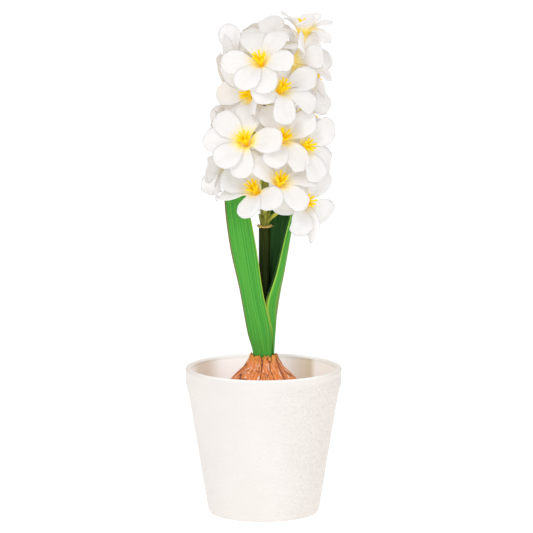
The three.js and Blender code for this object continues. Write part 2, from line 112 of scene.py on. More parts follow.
class Shader:
    """The nodes of a material or of the world."""

    def __init__(self, owner):
        owner.use_nodes = True
        self.owner = owner
        self.tree = owner.node_tree
        self.tree.nodes.clear()

    def add(self, kind, settings=None, sockets=None):
        """Adds a node, sets its settings and then its sockets, and returns its first live output."""
        made = self.tree.nodes.new("ShaderNode" + kind)
        for name, value in (settings or {}).items():
            setattr(made, name, value)
        for name, value in (sockets or {}).items():
            socket = made.inputs[name]
            if isinstance(value, Wire):
                self.tree.links.new(value.socket, socket)
            elif socket.type == "RGBA":
                socket.default_value = (*value, 1)
            else:
                socket.default_value = value
        live = [socket for socket in made.outputs if socket.enabled]
        return Wire(self, live[0]) if live else None

    def mixed(self, share, first, second):
        """Two colours, mixed by a share."""
        return self.add("Mix", {"data_type": "RGBA"}, {0: share, 6: first, 7: second})

    def vector(self, operation, first, second=(0, 0, 0)):
        return self.add("VectorMath", {"operation": operation}, {0: first, 1: second})

    def parts(self, where):
        """The X, Y and Z of a place."""
        split = self.add("SeparateXYZ", {}, {"Vector": where})
        return tuple(split.out(name) for name in "XYZ")

    def noise(self, where, scale, detail=3, roughness=0.5, distortion=0.0):
        sockets = {"Scale": scale, "Detail": detail, "Roughness": roughness, "Distortion": distortion}
        return self.add("TexNoise", {}, {"Vector": where, **sockets})

    def place(self, scale=(1, 1, 1), source="Object"):
        """Where a point is, on the object or in its UV map, stretched by a scale."""
        where = self.add("TexCoord").out(source)
        return self.add("Mapping", {}, {"Vector": where, "Scale": scale})

    def unrolled(self, rise, middle=(0, 0, 0)):
        """Where a point is on a round piece, as if on a plain cylinder, so that streaks run up it."""
        at = self.vector("SUBTRACT", self.place(), middle)
        around = self.vector("NORMALIZE", self.vector("MULTIPLY", at, (1, 1, 0)))
        up = self.vector("MULTIPLY", at, (0, 0, rise))
        return self.vector("ADD", around, up)

    def bump(self, height, distance, strength=1.0):
        return self.add("Bump", {}, {"Height": height, "Distance": distance, "Strength": strength})

    def surface(self, **sockets):
        """The main shader, from sockets given as base_color=, roughness= and so on."""
        return self.add("BsdfPrincipled", {}, {titled(name): value for name, value in sockets.items()})

    def finished(self, **sockets):
        return self.shown(self.surface(**sockets))

    def shown(self, shader):
        self.add("OutputMaterial", {}, {"Surface": shader})
        return self.owner


def titled(name):
    return "Specular IOR Level" if name == "specular" else name.replace("_", " ").title()


def new_finish(name):
    return Shader(bpy.data.materials.new(name))


def made_object(bm, name, material):
    """The finished mesh as an object, shaded smooth."""
    mesh = bpy.data.meshes.new(name)
    bm.to_mesh(mesh)
    bm.free()
    mesh.shade_smooth()
    mesh.materials.append(material)
    made = bpy.data.objects.new(name, mesh)
    bpy.context.scene.collection.objects.link(made)
    return made


FLOOR_HALF = 6.0
paint = new_finish("white_table")
speckle = paint.noise(paint.place(), 90, detail=2)
paint_colour = paint.mixed(speckle, (0.86, 0.86, 0.86), (0.88, 0.88, 0.88))
table_glow = {"emission_color": (1, 1, 1), "emission_strength": 0.38}
white_table = paint.finished(base_color=paint_colour, roughness=0.9, **table_glow)
bm = bmesh.new()
bmesh.ops.create_grid(bm, x_segments=4, y_segments=4, size=FLOOR_HALF)
floor = made_object(bm, "floor", white_table)
floor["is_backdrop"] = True

SKY_LIGHT = 0.74
SKY_SEEN = 1.04
world = bpy.data.worlds.new("white_room")
bpy.context.scene.world = world
sky = Shader(world)
seen = sky.add("Background", {}, {"Color": (1, 1, 1), "Strength": SKY_SEEN})
lighting = sky.add("Background", {}, {"Color": (0.97, 0.985, 1.0), "Strength": SKY_LIGHT})
to_camera = sky.add("LightPath").out("Is Camera Ray")
sky.add("OutputWorld", {}, {"Surface": sky.add("MixShader", {}, {0: to_camera, 1: lighting, 2: seen})})

MIDDLE_OF_PLANT = Vector((0, 0, 0.15))


def soft_box(name, place, size, power, colour):
    """A large square light, in watts, that faces the middle of the plant."""
    lamp = bpy.data.lights.new(name, "AREA")
    lamp.size = size
    lamp.energy = power
    lamp.color = colour
    made = bpy.data.objects.new(name, lamp)
    bpy.context.scene.collection.objects.link(made)
    made.location = place
    made.rotation_euler = (MIDDLE_OF_PLANT - Vector(place)).to_track_quat("-Z", "Y").to_euler()


soft_box("key_light", (-0.6, -1.65, 1.75), 0.8, 17, (1.0, 0.985, 0.965))
soft_box("fill_light", (1.6, -1.2, 0.7), 1.2, 5, (0.96, 0.98, 1.0))

CAMERA_TILT = math.radians(9)
CAMERA_AWAY = 2.3
SENSOR = 36
VIEW_WIDTH = 0.3036  # of what the camera sees, at the plant
VIEW_MIDDLE = Vector((0.0017, 0, 0.1427))
camera = bpy.data.objects.new("camera", bpy.data.cameras.new("camera"))
bpy.context.scene.collection.objects.link(camera)
camera.data.sensor_width = SENSOR
camera.data.lens = SENSOR * CAMERA_AWAY / VIEW_WIDTH
camera.data.clip_end = 50
back_off = Vector((0, -math.cos(CAMERA_TILT), math.sin(CAMERA_TILT)))
camera.location = VIEW_MIDDLE + CAMERA_AWAY * back_off
camera.rotation_euler = (math.pi / 2 - CAMERA_TILT, 0, 0)
bpy.context.scene.camera = camera
bpy.context.scene.view_settings.view_transform = "Standard"


# ---- Pot: moulded from thick cream plastic ----
# A tapered pot with a foot ring and a wall that flares a little under its rounded rim. The mould gives
# the outside a soft leather grain and leaves the rim and the inside smooth. Two soft beige bands of
# painted shade run down the inside, where its curve turns away from the light.
def spun(bm, profile, steps):
    """A line of (radius, height) in mm turned once about the Z axis, as a closed skin."""
    verts = [bm.verts.new((radius * MM, 0, height * MM)) for radius, height in profile]
    edges = [bm.edges.new(pair) for pair in zip(verts, verts[1:])]
    axis = {"cent": (0, 0, 0), "axis": (0, 0, 1), "angle": 2 * math.pi}
    bmesh.ops.spin(bm, geom=verts + edges, steps=steps, use_merge=True, **axis)
    bmesh.ops.remove_doubles(bm, verts=bm.verts, dist=1e-6)
    bmesh.ops.recalc_face_normals(bm, faces=bm.faces)


POT_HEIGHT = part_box("pot")[1].z / MM
POT_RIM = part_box("pot")[1].x / MM
POT_FOOT = 31.4
POT_TAPER = 0.164
POT_WALL = 3.6
POT_FLOOR = 5.0
FOOT_RECESS = 1.5  # the bottom inside the foot ring stands this far off the table


def pot_outside(height):
    return POT_FOOT + POT_TAPER * height


bm = bmesh.new()
spun(
    bm,
    [
        (0, FOOT_RECESS),
        (POT_FOOT - 6.5, FOOT_RECESS),
        *[(POT_FOOT - 5.5, 0), (POT_FOOT - 2.2, 0), (POT_FOOT - 0.5, 0.7)],
        *[(pot_outside(height), height) for height in (3, 20, 36, 52, 64)],
        (pot_outside(70) + 0.2, 70),
        (pot_outside(76) + 0.7, 76),
        (POT_RIM - 0.5, POT_HEIGHT - 3.4),
        (POT_RIM - 0.05, POT_HEIGHT - 1.5),
        (POT_RIM - 0.5, POT_HEIGHT - 0.45),
        (POT_RIM - 1.6, POT_HEIGHT),
        (POT_RIM - 3.0, POT_HEIGHT - 0.25),
        (POT_RIM - 3.8, POT_HEIGHT - 1.2),
        (POT_RIM - 4.25, POT_HEIGHT - 3.2),
        *[(pot_outside(height) - POT_WALL, height) for height in (74, 64, 48, 28, 8)],
        (pot_outside(5) - POT_WALL - 2.5, POT_FLOOR),
        (0, POT_FLOOR),
    ],
    steps=144,
)
grain = new_finish("pot_cream_plastic")
at = grain.place()
side, depth, height = grain.parts(at)
radius = grain.vector("LENGTH", grain.vector("MULTIPLY", at, (1, 1, 0))).out("Value")
outside = (radius - height * POT_TAPER).rise((POT_FOOT - 1.6) * MM, (POT_FOOT - 0.6) * MM)
below_rim = height.rise((POT_HEIGHT - 3) * MM, (POT_HEIGHT - 6) * MM)
pebble = {"Vector": at, "Scale": 700, "Smoothness": 0.4, "Randomness": 1}
pebbles = grain.add("TexVoronoi", {"feature": "SMOOTH_F1"}, pebble)
LEATHER = {"scale": 560, "detail": 3, "distortion": 1.2}
waves = grain.noise(at, **LEATHER)
to_right = side.rise(-0.008, 0.032)
leather = (pebbles * 0.5 + waves) * outside * below_rim * (0.5 + to_right)
mottle = grain.noise(at, 40, detail=3)
cream = grain.mixed(mottle.rise(0.3, 0.7), (0.778, 0.735, 0.700), (0.80, 0.757, 0.725))
# The outside is painted a warmer tone toward its right and left edges, a painted tint of the shade where
# the wall turns from the light.
painted_side_shade = (side.rise(0.006, 0.043) * 0.9 + side.rise(-0.026, -0.044) * 0.4) * outside
cream = grain.mixed(painted_side_shade, cream, (0.82, 0.755, 0.695))
# Each bump of the leather is painted with light and shade: a lighter flank toward the light, up and to
# the left, and a darker one.
up_left = grain.vector("ADD", at, (-0.0004, 0, 0.0004))
flank = grain.noise(up_left, **LEATHER) - waves
painted_grain_light = outside * below_rim * (0.05 + to_right * 0.07)
cream = grain.mixed(flank.rise(0.01, 0.16) * painted_grain_light, cream, (0.66, 0.57, 0.49))
cream = grain.mixed(flank.rise(-0.01, -0.16) * painted_grain_light, cream, (0.90, 0.87, 0.83))
# Two soft beige bands of painted shade run down the inside at the back, one on each side.
right_shade_band = side.rise(0.009, 0.023) ** 1.4 * side.rise(0.0305, 0.0265)
right_shade_band = right_shade_band + side.rise(0.022, 0.028) * 0.3
left_shade_band = side.rise(-0.023, -0.034) * side.rise(-0.043, -0.037)
painted_shade_bands = (right_shade_band + left_shade_band) * (1 - outside) * depth.rise(0, 0.006) * 0.8
# The inside is painted a lighter, cooler cream than the outside: painted light.
cream = grain.mixed(1 - outside, cream, (0.80, 0.785, 0.77))
cream = grain.mixed(painted_shade_bands, cream, (0.52, 0.44, 0.33))
# The top of the lip is painted lighter at the front, a painted highlight, and darker toward the sides,
# painted shade.
lip = height.rise((POT_HEIGHT - 1.6) * MM, (POT_HEIGHT - 0.6) * MM)
lip_highlight_and_shade = grain.mixed(abs(side).rise(0.024, 0.043), (0.87, 0.855, 0.83), (0.77, 0.71, 0.65))
cream = grain.mixed(lip, cream, lip_highlight_and_shade)
# The inside is given a painted glow in its own colour, standing in for the light that bounces about in
# it, less so near the rim.
painted_inner_glow = (1 - outside) * (1 - height.rise((POT_HEIGHT - 3) * MM, (POT_HEIGHT - 1) * MM) * 0.6)
pot_plastic = grain.finished(
    base_color=cream,
    roughness=0.46 + mottle * 0.12 - (1 - outside) * 0.12,
    normal=grain.bump(leather, 0.00045, 1.0),
    specular=0.35,
    emission_color=grain.mixed(painted_inner_glow, (0, 0, 0), cream),
    emission_strength=0.4,
)
pot = made_object(bm, "pot_shell", pot_plastic)
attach(pot, "root")
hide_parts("pot")


# ---- Potting soil: dark peat, filled to two thirds of the pot ----
# Loose peat, pressed a little hollow round the bulb. The fill is one body with a lumpy top, and
# several hundred crumbs and splinters of bark lie pressed into it.
SOIL_TOP = 60.0
SOIL_FOOT = 8
SOIL_GAP = 0.5  # between the soil and the pot's wall
CRUMBS = 420
BULB_WAIST_RADIUS = 25.5
soil_edge = pot_outside(SOIL_TOP) - POT_WALL - SOIL_GAP
dice = random.Random(4)
bm = bmesh.new()
spun(
    bm,
    [
        (0, SOIL_FOOT),
        (pot_outside(SOIL_FOOT) - POT_WALL - SOIL_GAP, SOIL_FOOT),
        (pot_outside(SOIL_TOP - 2) - POT_WALL - SOIL_GAP, SOIL_TOP - 2),
        (soil_edge - 0.4, SOIL_TOP - 0.4),
        *[(soil_edge - 1.2 - 1.5 * step, SOIL_TOP + 0.25) for step in range(6)],
        (BULB_WAIST_RADIUS + 0.6, SOIL_TOP - 0.4),
        (BULB_WAIST_RADIUS - 2.2, 53.5),
        (0, 50),
    ],
    steps=96,
)
for vert in bm.verts:
    if vert.co.z > (SOIL_TOP - 2) * MM:
        vert.co.z += dice.uniform(-0.55, 0.65) * MM
for crumb in range(CRUMBS):
    turn = dice.uniform(0, 2 * math.pi)
    out = dice.uniform(BULB_WAIST_RADIUS + 1.6, soil_edge - 1.6) * MM
    size = dice.choice((0.5, 0.7, 0.9, 1.3)) * MM
    place = Matrix.Translation((out * math.cos(turn), out * math.sin(turn), (SOIL_TOP + 0.45) * MM))
    tilt = Matrix.Rotation(dice.uniform(0, 6.3), 4, (dice.random(), dice.random(), 0.4))
    long = dice.choice((1, 1.2, 2.4))
    lump = bmesh.ops.create_icosphere(bm, subdivisions=1, radius=size)
    for vert in lump["verts"]:
        vert.co *= dice.uniform(0.75, 1.2)
    shape = place @ tilt @ Matrix.Diagonal((long, 1, 0.7, 1))
    bmesh.ops.transform(bm, matrix=shape, verts=lump["verts"])
peat = new_finish("peat")
at = peat.place()
crumbs = peat.noise(at, 700, detail=5, roughness=0.65)
lumps = peat.noise(at, 160, detail=2)
brown = peat.mixed(crumbs.rise(0.35, 0.7), (0.012, 0.008, 0.005), (0.075, 0.045, 0.026))
brown = peat.mixed(lumps.rise(0.62, 0.75) * 0.7, brown, (0.16, 0.095, 0.045))
peat_material = peat.finished(
    base_color=brown,
    roughness=0.88 + crumbs * 0.1,
    normal=peat.bump(crumbs, 0.0006, 0.8),
    specular=0.2,
)
soil = made_object(bm, "peat_fill", peat_material)
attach(soil, "root")
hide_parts("potting_soil")


# ---- Bulb: onion shaped, in copper brown papery skins ----
# The half that shows is wrapped in dry skins that have split into strips from the neck down, with
# dark seams between them and pale flecks beside the seams. The skins end in flakes that lie close
# round the neck, which is open for the stem and leaves.
BULB_LOWER = [(0, 41), (7, 41), (9, 42), (17, 46.5), (23, 53), (BULB_WAIST_RADIUS, 61)]
BULB_UPPER = [(24.4, 68), (21.8, 74), (18.2, 78.6), (14.8, 82), (11.9, 84.8), (9.8, 88.2)]
BULB_NECK = [(8.3, 90.6), (7.5, 91.8)]
NECK_BORE = 6.6
NECK_FLOOR = 82.0


def smooth_line(points, steps):
    """A line of points through which a smooth curve runs, with that many steps between each pair."""
    knots = np.array([points[0], *points, points[-1]], float)
    line = []
    for before, start, end, after in zip(knots, knots[1:], knots[2:], knots[3:]):
        for t in np.arange(steps) / steps:
            weights = (
                -0.5 * t + t**2 - 0.5 * t**3,
                1 - 2.5 * t**2 + 1.5 * t**3,
                0.5 * t + 2 * t**2 - 1.5 * t**3,
                0.5 * t**3 - 0.5 * t**2,
            )
            line.append(sum(w * p for w, p in zip(weights, (before, start, end, after))))
    return [*line, knots[-1]]


def wavy(turn, height, waves):
    """A sum of (amount, waves round, twist, phase), for skins that are ribbed lengthwise."""
    return sum(a * math.sin(n * turn + twist * height + phase) for a, n, twist, phase in waves)


def round_axis(vert):
    """Where a point is round the Z axis: its turn, its radius and its height, in mm."""
    radius = math.hypot(vert.co.x, vert.co.y) / MM
    return math.atan2(vert.co.y, vert.co.x), radius, vert.co.z / MM


def push_out(vert, amount):
    share = amount / round_axis(vert)[1]
    vert.co.x *= 1 + share
    vert.co.y *= 1 + share


bm = bmesh.new()
outside_line = smooth_line(BULB_LOWER + BULB_UPPER + BULB_NECK, 4)
pocket = [(7.0, 91.9), (NECK_BORE + 0.1, 91.0), (NECK_BORE, NECK_FLOOR), (0, NECK_FLOOR)]
spun(bm, [*outside_line, *pocket], steps=150)
SKINS_START = 44  # height where the ribs of the skins begin
FRAYED = 90.4  # height where the skins are frayed
FLAKE_FOOT = 89.8
SKIN_RIBS = [(0.22, 7, 0.02, 0.4), (0.16, 12, -0.03, 1.9), (0.10, 19, 0.05, 3.1), (0.07, 31, 0.02, 0.7)]
FRAYING = [(0.5, 9, 0, 1), (0.35, 17, 0, 2), (0.25, 29, 0, 0)]
for vert in bm.verts:
    turn, radius, height = round_axis(vert)
    if radius < NECK_BORE + 0.3 or height < SKINS_START:
        continue
    rise = min(1, (height - SKINS_START) / 10) * min(1, (radius - NECK_BORE) / 3)
    push_out(vert, (wavy(turn, height, SKIN_RIBS) - 0.25) * rise)
    if height > FRAYED:
        vert.co.z += wavy(turn, 0, FRAYING) * MM
# Each flake: degrees round the neck, and how tall it is.
FLAKES = [(20, 3.4), (64, 2.2), (118, 4.2), (150, 2.6), (196, 3.6), (237, 2.0), (284, 3.0), (331, 4.4)]
for turn, tall in FLAKES:
    sheet = bmesh.ops.create_grid(bm, x_segments=4, y_segments=4, size=1)["verts"]
    for vert in sheet:
        side, up = vert.co.x, (vert.co.y + 1) / 2
        angle = math.radians(turn) + side * (1 - up**1.5) * 0.36
        radius = 7.9 + 0.4 * up + 0.1 * side * side
        height = FLAKE_FOOT + 0.5 * tall * up * (1 - 0.25 * abs(side))
        vert.co = Vector((radius * math.cos(angle), radius * math.sin(angle), height)) * MM
    bmesh.ops.remove_doubles(bm, verts=sheet, dist=1e-6)
    faces = list({face for vert in sheet if vert.is_valid for face in vert.link_faces})
    bmesh.ops.recalc_face_normals(bm, faces=faces)
    bmesh.ops.solidify(bm, geom=faces, thickness=0.22 * MM)
husk = new_finish("bulb_skin")
at = husk.place()
streaks = husk.unrolled(22)
bend = husk.noise(streaks, 1.5, detail=3)
bent = husk.vector("ADD", streaks, bend * 0.8)
strips = husk.add("TexVoronoi", {"feature": "DISTANCE_TO_EDGE"}, {"Vector": bent, "Scale": 1.5})
cells = husk.add("TexVoronoi", {"feature": "DISTANCE_TO_EDGE"}, {"Vector": bent, "Scale": 7})
fibre = husk.noise(husk.unrolled(3), 26, detail=5, roughness=0.6)
blotch = husk.noise(at, 210, detail=4, roughness=0.6)
flecks = husk.noise(husk.unrolled(30), 16, detail=3)
seam = strips.rise(0.035, 0.004)
crackle = cells.rise(0.09, 0.02) * blotch.rise(0.46, 0.58)
beside_seam = strips.rise(0.04, 0.08) * strips.rise(0.22, 0.10)
neck_share = husk.parts(at)[2].rise(0.087, 0.091)
copper = husk.mixed(fibre.rise(0.3, 0.7), (0.70, 0.18, 0.045), (0.95, 0.33, 0.10))
copper = husk.mixed(blotch.rise(0.5, 0.72) * 0.5, copper, (0.90, 0.34, 0.11))
copper = husk.mixed(blotch.rise(0.44, 0.3) * 0.5, copper, (0.42, 0.08, 0.03))
copper = husk.mixed(flecks.rise(0.57, 0.63) * (0.25 + beside_seam * 0.7), copper, (0.95, 0.74, 0.60))
copper = husk.mixed(crackle * 0.6, copper, (0.20, 0.045, 0.035))
copper = husk.mixed(seam * 0.8, copper, (0.13, 0.035, 0.04))
copper = husk.mixed(neck_share * flecks.rise(0.5, 0.58) * 0.85, copper, (0.95, 0.48, 0.03))
skins = fibre * 0.5 + blotch * 0.35 - seam * 0.9 - crackle * 0.4
bulb_skin = husk.finished(
    base_color=copper,
    roughness=0.6 + blotch * 0.25,
    normal=husk.bump(skins, 0.0008, 0.9),
    specular=0.25,
)
bulb = made_object(bm, "bulb_skins", bulb_skin)
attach(bulb, "root")
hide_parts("bulb")


# ---- Stem: a thick dark green tube ----
# It stands in the bulb's neck. It is nearly black, a little greener toward the top, ribbed lengthwise,
# and open at its top end, where the flower stalk plugs in.
STEM_X = 0.5
STEM_RADIUS = 3.3
STEM_FOOT = NECK_FLOOR + 0.3
STEM_TOP = 165.0
STEM_SOCKET = 6.0
STALK_BORE = 2.7
bm = bmesh.new()
rungs = np.linspace(STEM_FOOT, STEM_TOP - 0.7, 24)
wall = [(0, STEM_FOOT), *[(STEM_RADIUS, height) for height in rungs]]
lip = [(STEM_RADIUS - 0.25, STEM_TOP), (STALK_BORE, STEM_TOP - 0.1)]
socket = [(STALK_BORE, STEM_TOP - STEM_SOCKET), (0, STEM_TOP - STEM_SOCKET)]
spun(bm, [*wall, *lip, *socket], steps=40)
STEM_RIBS = [(0.10, 5, 0.004, 0.3), (0.06, 11, -0.006, 1.2)]
for vert in bm.verts:
    turn, radius, height = round_axis(vert)
    if radius > STALK_BORE + 0.2:
        push_out(vert, wavy(turn, height, STEM_RIBS) - 0.12)
bmesh.ops.translate(bm, vec=(STEM_X * MM, 0, 0), verts=bm.verts)
rind = new_finish("stem_rind")
lines = rind.noise(rind.unrolled(9, (STEM_X * MM, 0, 0)), 9, detail=4)
high = rind.parts(rind.place())[2].rise(0.135, 0.168)
dark = rind.mixed(lines.rise(0.3, 0.7), (0.007, 0.014, 0.003), (0.025, 0.040, 0.007))
dark = rind.mixed(high * 0.6, dark, (0.048, 0.062, 0.012))
stem_rind = rind.finished(
    base_color=dark,
    roughness=0.5 + lines * 0.2,
    normal=rind.bump(lines, 0.0003, 0.6),
    specular=0.05,
)
stem = made_object(bm, "stem_tube", stem_rind)
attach(stem, "root")
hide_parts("stem")


# ---- Collar: the torn end of the paper tape that is wound round the stem ----
# A thin ragged ring of ochre tape lies on the stem's end round the stalk. Torn tails stick out of its
# front and sides, and short loose fibres stand out and up all round the back.
COLLAR_LOW = STEM_TOP + 0.3
TORN = [(0.28, 5, 0, 0.5), (0.22, 11, 0, 2.0), (0.18, 17, 0, 1.0), (0.12, 27, 0, 0)]
bm = bmesh.new()
ring = [(STALK_BORE, 1.1), (STALK_BORE, 0), (3.5, 0), (3.9, 0.35)]
ring += [(3.8, 0.8), (3.3, 1.2), (STALK_BORE, 1.1)]
spun(bm, [(radius, COLLAR_LOW + up) for radius, up in ring], steps=60)
for vert in bm.verts:
    turn, radius, height = round_axis(vert)
    if radius > STALK_BORE + 0.2:
        torn = wavy(turn, 0, TORN)
        push_out(vert, torn)
        vert.co.z += torn * MM if height > COLLAR_LOW + 0.3 else 0
# Each tail: degrees round the stalk from the right, its length, and how far it points up, in radians.
# The other strands are fibres.
TAILS = [(-178, 2.6, 0.3), (-150, 1.2, 0.5), (-118, 1.0, 0.2)]
TAILS += [(-62, 1.1, 0.5), (-25, 1.9, 0.7), (-4, 2.6, -0.1)]
STRANDS = 26
dice = random.Random(11)
for strand in range(STRANDS):
    turn, long, rise = dice.uniform(0, math.pi), dice.uniform(0.8, 2.0), dice.uniform(-0.4, 0.9)
    if strand < len(TAILS):
        turn, long, rise = math.radians(TAILS[strand][0]), *TAILS[strand][1:]
    foot = Matrix.Rotation(turn, 4, "Z") @ Matrix.Translation((3.2 * MM, 0, (COLLAR_LOW + 0.8) * MM))
    lean = Matrix.Rotation(math.pi / 2 - rise, 4, "Y") @ Matrix.Translation((0, 0, long / 2 * MM))
    width = (0.5 if strand < len(TAILS) else dice.uniform(0.14, 0.3)) * MM
    flat = foot @ lean @ Matrix.Diagonal((0.5, 1, 1, 1))
    ends = {"radius1": width, "radius2": 0.15 * width, "depth": long * MM}
    bmesh.ops.create_cone(bm, cap_ends=True, segments=6, matrix=flat, **ends)
bmesh.ops.translate(bm, vec=(STEM_X * MM, 0, 0), verts=bm.verts)
tape = new_finish("paper_tape")
threads = tape.noise(tape.unrolled(300, (STEM_X * MM, 0, 0)), 7, detail=4)
ochre = tape.mixed(threads.rise(0.3, 0.7), (0.52, 0.31, 0.06), (0.90, 0.66, 0.24))
paper_tape = tape.finished(
    base_color=ochre,
    roughness=0.85 + threads * 0.1,
    normal=tape.bump(threads, 0.0003, 0.8),
)
collar = made_object(bm, "tape_collar", paper_tape)
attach(collar, "root")
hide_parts("stem_collar")


# ---- Flower stalk: an olive green core with a curved pedicel up to each floret ----
# The core plugs into the stem and tapers to the top. Each pedicel springs from it in the axil of a
# small scale, swells a little at both ends, and ends under its floret's tube. The florets' places and
# petals, which the corollas and the stamens follow too, are these:
# turn: degrees round the stalk, 0 to the room and 90 to the right.
# height and reach: of the tube's mouth, above the ground and out from the stalk's axis.
# lift and swing: degrees that the floret faces up, and to the right of its turn.
# petals: where each petal points, seen from the floret's front, 0 to the right and 90 up.
# open and size: how much further its petals open than the others', and their size beside them.
# bends and twists: how much further each of its petals opens, and turns about its own midrib.
def bloom(turn, height, reach, lift, swing, petals, **more):
    """A floret's place and petals, in the order that is given above."""
    usual = dict(bends=[0] * 6, twists=[0] * 6, open=0, size=1)
    where = dict(turn=turn, height=height, reach=reach, lift=lift, swing=swing)
    return {**usual, **where, "petals": petals, **more}


def evenly(first):
    return [first + step for step in range(0, 360, 60)]


FLORETS = [
    bloom(-9, 261.5, 25, 44, -6, [351, 54, 114, 200, 256, 292], bends=[0, -14, 18, 0, 20, 14],
          twists=[28, 0, 0, -24, 0, 0]),
    bloom(17, 246, 24, 38, 17, [10, 95, 192, 256, 316, 354], bends=[0, 0, 10, 24, 24, 0],
          twists=[14, 0, 0, 0, 0, 14]),
    bloom(-25, 217, 27, 36, 13, [356, 90, 142, 186, 234, 270], bends=[0, 0, 0, 0, 14, 16],
          twists=[20, 0, 0, -14, 0, 0]),
    bloom(25, 218, 21.5, 34, -8, [25, 84, 130, 200, 238, 290], bends=[-22, 0, 0, 20, 10, 14]),
    bloom(50, 213, 27, 20, -8, [30, 82, 130, 190, 274, 322], bends=[0, 0, 0, 0, 8, 8]),
    bloom(-13, 189, 23, 38, -15, [98, 126, 144, 164, 280, 334], bends=[0, 0, 0, -10, 0, 0],
          twists=[0, 0, 0, 30, 0, 0]),
    bloom(18, 193.5, 25.5, 42, -4, [8, 50, 90, 126, 156, 300], bends=[0, 0, 0, 0, 16, 14]),
    bloom(51, 182, 28.3, 15, -18, [52, 104, 156, 238, 268, 332], bends=[-14, 0, 0, 0, 34, 26],
          twists=[0, 0, 0, 0, 100, 30]),
    bloom(92, 276, 20, 86, 0, [90, 30, 330, 270, 238, 178], bends=[0, 0, 0, 14, 84, 4],
          twists=[0, 0, 0, 0, 0, 40], open=-34, size=0.78),
    bloom(-34, 243, 14, 8, -24, [340, 50, 120, 170, 218, 262]),
    bloom(62, 262, 19, 20, 20, [25, 85, 145, 190, 250, 310], bends=[0, 0, 0, -40, 0, 0]),
    bloom(-84, 242, 20, 0, -18, [330, 30, 90, 150, 215, 268], bends=[-20, 0, 0, 0, 10, 6]),
    bloom(40, 267.5, 6.3, 78, -40, [8, 50, 100, 150, 195, 270], bends=[0, 0, 0, 0, 34, -10],
          open=-16),
    bloom(-62, 259.5, 19, 26, -16, evenly(20), twists=[0, 70, 0, 0, 0, 0]),
    bloom(80, 250.5, 22.5, 10, 10, [20, 75, 125, 170, 215, 272], bends=[0, 0, 0, -24, 0, 0],
          twists=[0, 0, 0, 0, 0, 60]),
    bloom(-76, 202, 23, 4, -4, [350, 50, 110, 170, 248, 300], bends=[-20, 0, 0, 0, 10, 0],
          twists=[0, 0, 0, 0, -80, 0]),
    bloom(-86, 221, 20.5, 6, -12, evenly(40)),
    bloom(104, 229, 20.5, 12, 4, [0, 48, 96, 165, 225, 290], bends=[0, 0, 0, -10, 0, 0]),
    bloom(116, 205, 23, 2, 4, evenly(25)),
    bloom(-130, 254, 22, 16, 0, evenly(50)),
    bloom(-137, 213, 23.5, 6, 0, evenly(5)),
    bloom(155, 214, 23.5, 14, 0, evenly(30)),
    bloom(192, 191, 24, 4, 0, evenly(15)),
    bloom(190, 234, 23.5, 16, 0, evenly(0)),
    bloom(136, 252, 23, 22, 0, evenly(40)),
    bloom(188, 263, 20, 30, 0, evenly(10)),
]
STALK_TOP = 264.0
STALK_LEAN = Vector((2, 0.8))
STALK_RADIUS = 2.4
TUBE_LENGTH = 12.0


def stalk_axis(height):
    share = max(0, (height - STEM_TOP) / (STALK_TOP - STEM_TOP))
    return Vector((STEM_X + STALK_LEAN.x * share, STALK_LEAN.y * share, height))


def floret_frame(floret):
    """A floret's own frame, in mm: X to its right, Y up its face, Z the way it faces, from its mouth."""
    out = math.radians(floret["turn"])
    face = math.radians(floret["turn"] + floret["swing"])
    up = math.radians(floret["lift"])
    reach = floret["reach"]
    mouth = stalk_axis(floret["height"]) + Vector((reach * math.sin(out), -reach * math.cos(out), 0))
    facing = Vector((math.sin(face) * math.cos(up), -math.cos(face) * math.cos(up), math.sin(up)))
    right = Vector((math.cos(face), math.sin(face), 0))
    turned = Matrix((right, facing.cross(right), facing)).transposed()
    return Matrix.Translation(mouth) @ turned.to_4x4()


def drawn(bm, path, radii, sides=8, flat=1.0):
    """A closed round tube along a path of points, all in mm; flat squashes its section."""
    neighbours = zip([path[0], *path], [*path[1:], path[-1]])
    ways = [(after - before).normalized() for before, after in neighbours]
    turned = ways[0].to_track_quat("Z", "Y")
    last = None
    ring = bmesh.ops.create_circle(bm, cap_ends=True, radius=1, segments=sides)["verts"]
    edges = list({edge for vert in ring for edge in vert.link_edges})
    for point, way, radius in zip(path, ways, radii):
        turned = (turned @ Vector((0, 0, 1))).rotation_difference(way) @ turned
        spread = Matrix.Diagonal((radius * MM, radius * flat * MM, MM, 1))
        frame_here = Matrix.Translation(point * MM) @ turned.to_matrix().to_4x4() @ spread
        if last:
            made = bmesh.ops.extrude_edge_only(bm, edges=edges)["geom"]
            ring = [part for part in made if isinstance(part, bmesh.types.BMVert)]
            edges = [part for part in made if isinstance(part, bmesh.types.BMEdge)]
            edges = [edge for edge in edges if edge.is_boundary]
            bmesh.ops.transform(bm, matrix=frame_here @ last.inverted(), verts=ring)
        else:
            bmesh.ops.transform(bm, matrix=frame_here, verts=ring)
        last = frame_here
    bmesh.ops.edgeloop_fill(bm, edges=edges)


def pedicel_line(place, steps):
    """From the core of the stalk, up and out, to the foot of the floret's tube."""
    facing = place.to_3x3() @ Vector((0, 0, 1))
    foot = place.translation - (TUBE_LENGTH + 0.3) * facing
    away = Vector((foot.x, foot.y, 0)) - stalk_axis(foot.z) * Vector((1, 1, 0))
    reach = away.length
    rise = 3 + 0.55 * reach
    start = stalk_axis(min(foot.z - rise, STALK_TOP - 3))
    leaving = start + 0.25 * away + Vector((0, 0, 0.55 * rise))
    return interpolate_bezier(start, leaving, foot - 0.35 * reach * facing, foot, steps)


